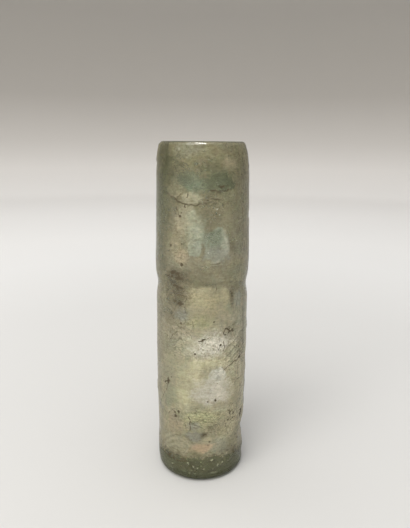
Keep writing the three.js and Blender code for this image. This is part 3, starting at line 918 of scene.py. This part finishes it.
def weatheredGlass():
    bench = Bench("weatheredGlass")
    place = bench.node("ShaderNodeTexCoord", output=3)  # Object coordinates
    inMm = bench.node("ShaderNodeVectorMath", {"operation": "SCALE"}, {0: place, "Scale": 1 / mm})
    up = bench.node("ShaderNodeSeparateXYZ", {}, {0: inMm}, output=2)
    right = bench.node("ShaderNodeSeparateXYZ", {}, {0: inMm}, output=0)
    streaked = bench.node("ShaderNodeMapping", {}, {"Vector": inMm, "Scale": (1.0, 1.0, 0.16)})
    ringed = bench.node("ShaderNodeMapping", {}, {"Vector": inMm, "Scale": (0.16, 0.16, 1.0)})
    fineRinged = bench.node("ShaderNodeMapping", {}, {"Vector": inMm, "Scale": (0.3, 0.3, 1.0)})
    patinaColour = bench.attribute("patina", output=0)
    patinaAmount = bench.attribute("patina", output=3)
    bare, soil, crumple, inside, gloss, lit = (bench.attribute(name) for name in layerNames)

    clouds = bench.noise(inMm, scales["clouds"], detail=3.0)
    mottle = bench.noise(inMm, scales["mottle"], detail=5.0, roughness=0.62)
    grit = bench.noise(inMm, scales["grit"], detail=4.0, roughness=0.75)
    streaks = bench.noise(streaked, scales["streaks"], detail=3.0)
    lines = bench.noise(ringed, scales["lines"], detail=3.0, distortion=0.3)
    fineLines = bench.noise(fineRinged, scales["fineLines"], detail=2.0, distortion=0.4)
    warp = bench.noise(inMm, scales["warp"], detail=2.0, output=1)
    warped = bench.node("ShaderNodeVectorMath", {"operation": "MULTIPLY_ADD"},
                        {0: warp, 1: glassLook["warpReach"], 2: inMm})
    flattened = bench.node("ShaderNodeMapping", {}, {"Vector": warped, "Scale": (0.65, 0.65, 1.15)})
    cells = bench.node("ShaderNodeTexVoronoi", {"feature": "DISTANCE_TO_EDGE"},
                       {"Vector": flattened, "Scale": scales["cells"]})
    crease = (1 - cells.between(0.0, 0.1)) * crumple * mottle.between(0.36, 0.56)
    wideFolds = bench.noise(flattened, scales["folds"], detail=3.0).veins(0.04)
    fineFolds = bench.noise(flattened, scales["fineFolds"], detail=2.0, distortion=0.8).veins(0.05)
    wrinkles = wideFolds.larger(fineFolds * 0.7) * crumple
    swirl = bench.noise(flattened, scales["swirls"], detail=1.0, distortion=0.3) * 9
    swirls = swirl.maths("FRACT").veins(0.28) * (crumple - 0.3).clamped()
    ridgeBand = up.between(24, 29) * (1 - up.between(35, 40))
    ridges = bench.noise(ringed, scales["ridges"], detail=2.0, distortion=0.8).veins(0.06) * ridgeBand
    sideLines = bench.noise(streaked, scales["streaks"], detail=2.0).veins(0.035)
    sideLines = sideLines * right.between(10, 17)
    flecks = bench.node("ShaderNodeTexVoronoi", {"feature": "F1"},
                        {"Vector": warped, "Scale": scales["flecks"]}, output=1)

    tone = bench.node("ShaderNodeValToRGB", {"stops": glassLook["filmToneAndShade"]}, {0: up / vaseHeight})
    hue = bench.noise(inMm, scales["hue"], detail=2.0, distortion=1.4)
    rainbow = bench.node("ShaderNodeValToRGB", {"stops": glassLook["rainbow"]}, {0: hue})
    film = bench.mixColour(0.15, tone, bench.mixColour(1.0, tone, rainbow, blend="OVERLAY"))
    film = bench.mixColour((patinaAmount * (0.7 + mottle * 0.6)).clamped(), film, patinaColour)
    fleck = bench.node("ShaderNodeSeparateColor", {}, {0: flecks})
    fleckTone = bench.node("ShaderNodeValToRGB", {"stops": glassLook["fleckTones"]}, {0: fleck})
    film = bench.mixColour(1.0, film, fleckTone, blend="OVERLAY")
    grain = (grit - 0.5) * (0.7 + 0.6 * crumple) * (0.5 + clouds)
    # wrinkles add painted highlights along the film's fine ridges
    shade = mottle * 0.85 + grain + streaks * 0.25 + lines * 0.5 + fineLines * 0.5 + wrinkles * 0.4
    # lit adds the painted light and shade of the cracks and folds
    shade = shade + lit - 0.05 - crease * 0.5 + ridges * 0.2 - sideLines * 0.45 + swirls * 0.3
    shade = shade * (0.955 + right * 0.0065)  # painted shade: the film is a little darker to the left and lighter to the right
    blueShade = shade * 1.16 - 0.15  # dark marks are warm, pale ones neutral
    shadeColour = bench.node("ShaderNodeCombineXYZ", {}, {0: shade, 1: shade * 1.012, 2: blueShade})
    film = bench.node("ShaderNodeVectorMath", {"operation": "MULTIPLY"}, {0: film, 1: shadeColour})

    holes = (mottle + 0.45 * grit + 0.3 * clouds).between(0.93, 1.02)
    cover = glassLook["filmCover"] * (1 - (bare * (0.6 + 0.8 * grit)).clamped()) * (1 - 0.25 * holes)
    cover = cover * (1 - 0.35 * inside)
    dirt = (soil * (0.65 + 0.7 * grit)).between(0.2, 0.85)
    pits = bench.noise(inMm, scales["pits"], detail=2.0, roughness=0.4).between(0.7, 0.8)
    dirt = dirt.larger(pits * clouds.between(0.4, 0.6) * 0.4).clamped()

    heightMap = mottle * 0.4 + grain * 0.4 + lines * 0.15 + streaks * 0.1 + wrinkles * 0.3
    heightMap = heightMap - crease * 0.45 + ridges * 0.3 - sideLines * 0.3 + swirls * 0.35
    bump = bench.node("ShaderNodeBump", {}, {
        "Strength": 0.6, "Distance": glassLook["filmBump"] * mm, "Height": heightMap})
    glassBump = bench.node("ShaderNodeBump", {}, {
        "Strength": 0.12, "Distance": glassLook["glassBump"] * mm, "Height": heightMap})
    glass = bench.node("ShaderNodeBsdfPrincipled", {}, {
        "Base Color": glassLook["glassColour"], "Roughness": glassLook["glassRoughness"], "IOR": 1.5,
        "Transmission Weight": 1.0, "Normal": glassBump})
    crust = bench.node("ShaderNodeBsdfPrincipled", {}, {
        "Base Color": film, "Roughness": glassLook["filmRoughness"], "IOR": 1.45, "Normal": bump,
        "Specular IOR Level": glassLook["filmShine"], "Coat Roughness": glassLook["coatRoughness"],
        "Coat Weight": (gloss + glassLook["coatWeight"] * (0.5 + clouds)).clamped()})
    earth = bench.node("ShaderNodeBsdfPrincipled", {}, {
        "Base Color": glassLook["soilColour"], "Roughness": 0.9, "Specular IOR Level": 0.2,
        "Normal": bump})
    skin = bench.node("ShaderNodeMixShader", {}, {0: cover.clamped(), 1: glass, 2: crust})
    surface = bench.node("ShaderNodeMixShader", {}, {0: dirt, 1: skin, 2: earth})
    volume = bench.node("ShaderNodeVolumeAbsorption", {}, {
        "Color": glassLook["absorbColour"], "Density": glassLook["absorbDensity"]})
    return bench.finish(surface, volume)


bm = spun(undersideProfile() + outsideProfile() + insideProfile(), mm, form["around"], 0.004 * mm)
refine(bm, nearDetail, 0.7)
refine(bm, nearBlister, 0.35)
refine(bm, nearBlister, 0.2)
weather(bm)
centreOnFrame(bm)
vaseGlass = finishedObject("vaseGlass", bm, weatheredGlass())
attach(vaseGlass, "root")
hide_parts(form["node"])
print("vase built,", sum(len(face.vertices) - 2 for face in vaseGlass.data.polygons), "triangles")

studio = {
    "floorRadius": 1.15,
    "coveRadius": 0.45,
    "wallTop": 0.8,
    # paper tone by distance from the vase, out over the floor and then up the wall
    # painted shadow darkens the floor close round the vase, and painted shade darkens the wall towards
    # its top
    "paperShadeTones": ((0.0, (0.62, 0.61, 0.59)), (0.1, (0.71, 0.7, 0.68)), (0.18, (0.83, 0.82, 0.8)),
                   (0.24, (0.89, 0.875, 0.85)), (0.36, (0.94, 0.92, 0.89)),
                   (0.52, (0.96, 0.935, 0.9)), (0.61, (0.84, 0.81, 0.77)),
                   (0.68, (0.655, 0.625, 0.585)), (0.78, (0.455, 0.43, 0.395)),
                   (0.9, (0.375, 0.355, 0.325))),
    "paperToneSpan": 2.4,
    "roomColour": (0.95, 0.97, 1.0, 1.0),
    "roomStrength": 0.43,
}


def paper():
    bench = Bench("paper")
    place = bench.node("ShaderNodeTexCoord", output=3)
    up = bench.node("ShaderNodeSeparateXYZ", {}, {0: place}, output=2)
    level = bench.node("ShaderNodeVectorMath", {"operation": "MULTIPLY"},
                       {0: place, 1: (1.0, 1.0, 0.0)})
    out = bench.node("ShaderNodeVectorMath", {"operation": "LENGTH"}, {0: level}, output=1)
    along = (out + up) / studio["paperToneSpan"]
    tone = bench.node("ShaderNodeValToRGB", {"stops": studio["paperShadeTones"]}, {0: along})
    sheet = bench.node("ShaderNodeBsdfPrincipled", {}, {
        "Base Color": tone, "Roughness": 0.9, "Specular IOR Level": 0.1})
    return bench.finish(sheet)


def roundBackdrop():  # a floor that sweeps up into a wall all the way round
    floorRadius, coveRadius = studio["floorRadius"], studio["coveRadius"]
    cove = arc(floorRadius, coveRadius, coveRadius, coveRadius, -90, 0, 16)
    wallFoot = floorRadius + coveRadius
    profile = [(0.0, 0.0), (0.3, 0.0), (0.8, 0.0)] + cove + [(wallFoot, studio["wallTop"])]
    backdrop = finishedObject("backdrop", spun(profile, 1.0, 72, 1e-5), paper())


def softLight(name, place, aim, size, power, colour):
    data = bpy.data.lights.new(name, "AREA")
    data.shape, data.size, data.size_y = "RECTANGLE", size[0], size[1]
    data.energy, data.color = power, colour
    lamp = bpy.data.objects.new(name, data)
    scene.collection.objects.link(lamp)
    lamp.location = place
    lamp.rotation_euler = (Vector(aim) - Vector(place)).to_track_quat("-Z", "Y").to_euler()


roundBackdrop()
# name: (place, what it points at, size, watts, colour)
lamps = {
    "ceilingLight": ((-0.1, -0.25, 1.5), (0, 0, 0.05), (1.4, 1.1), 7.8, (1.0, 0.985, 0.96)),
    "windowLight": ((-0.36, -0.72, 0.95), (0, 0, 0.05), (0.9, 0.9), 11.4, (1.0, 0.99, 0.97)),
    "backdropLight": ((0.0, 0.5, 1.3), (0, 1.35, 0.1), (1.6, 0.5), 2.6, (1.0, 0.99, 0.98)),
    "gleamLight": ((-0.052, -0.55, 1.05), (0, 0, 0.15), (0.34, 0.26), 8.0, (1.0, 0.98, 0.94)),
}
for name, settings in lamps.items():
    softLight(name, *settings)
# this lamp is only for the glint on the lip and the blisters
bpy.data.objects["gleamLight"].visible_diffuse = False
world = bpy.data.worlds.new("room")
world.use_nodes = True
background = world.node_tree.nodes["Background"]
background.inputs["Color"].default_value = studio["roomColour"]
background.inputs["Strength"].default_value = studio["roomStrength"]
scene.world = world
scene.view_settings.view_transform = "Standard"
print("studio lit")

lens = {
    "focal": 34.02,
    "sensor": 36.0,  # along the picture's long side
    "nearest": 0.01,
    "place": (1.27 * mm, -215.8 * mm, 149.6 * mm),
    "pitch": 13.72,
    "roll": 0.48,
}
cameraData = bpy.data.cameras.new("camera")
cameraData.lens = lens["focal"]
cameraData.sensor_width = lens["sensor"]
cameraData.clip_start = lens["nearest"]
camera = bpy.data.objects.new("camera", cameraData)
scene.collection.objects.link(camera)
camera.matrix_world = (Matrix.Translation(lens["place"])
                       @ Matrix.Rotation(math.radians(90 - lens["pitch"]), 4, "X")
                       @ Matrix.Rotation(math.radians(lens["roll"]), 4, "Z"))
scene.camera = camera
print("camera placed")
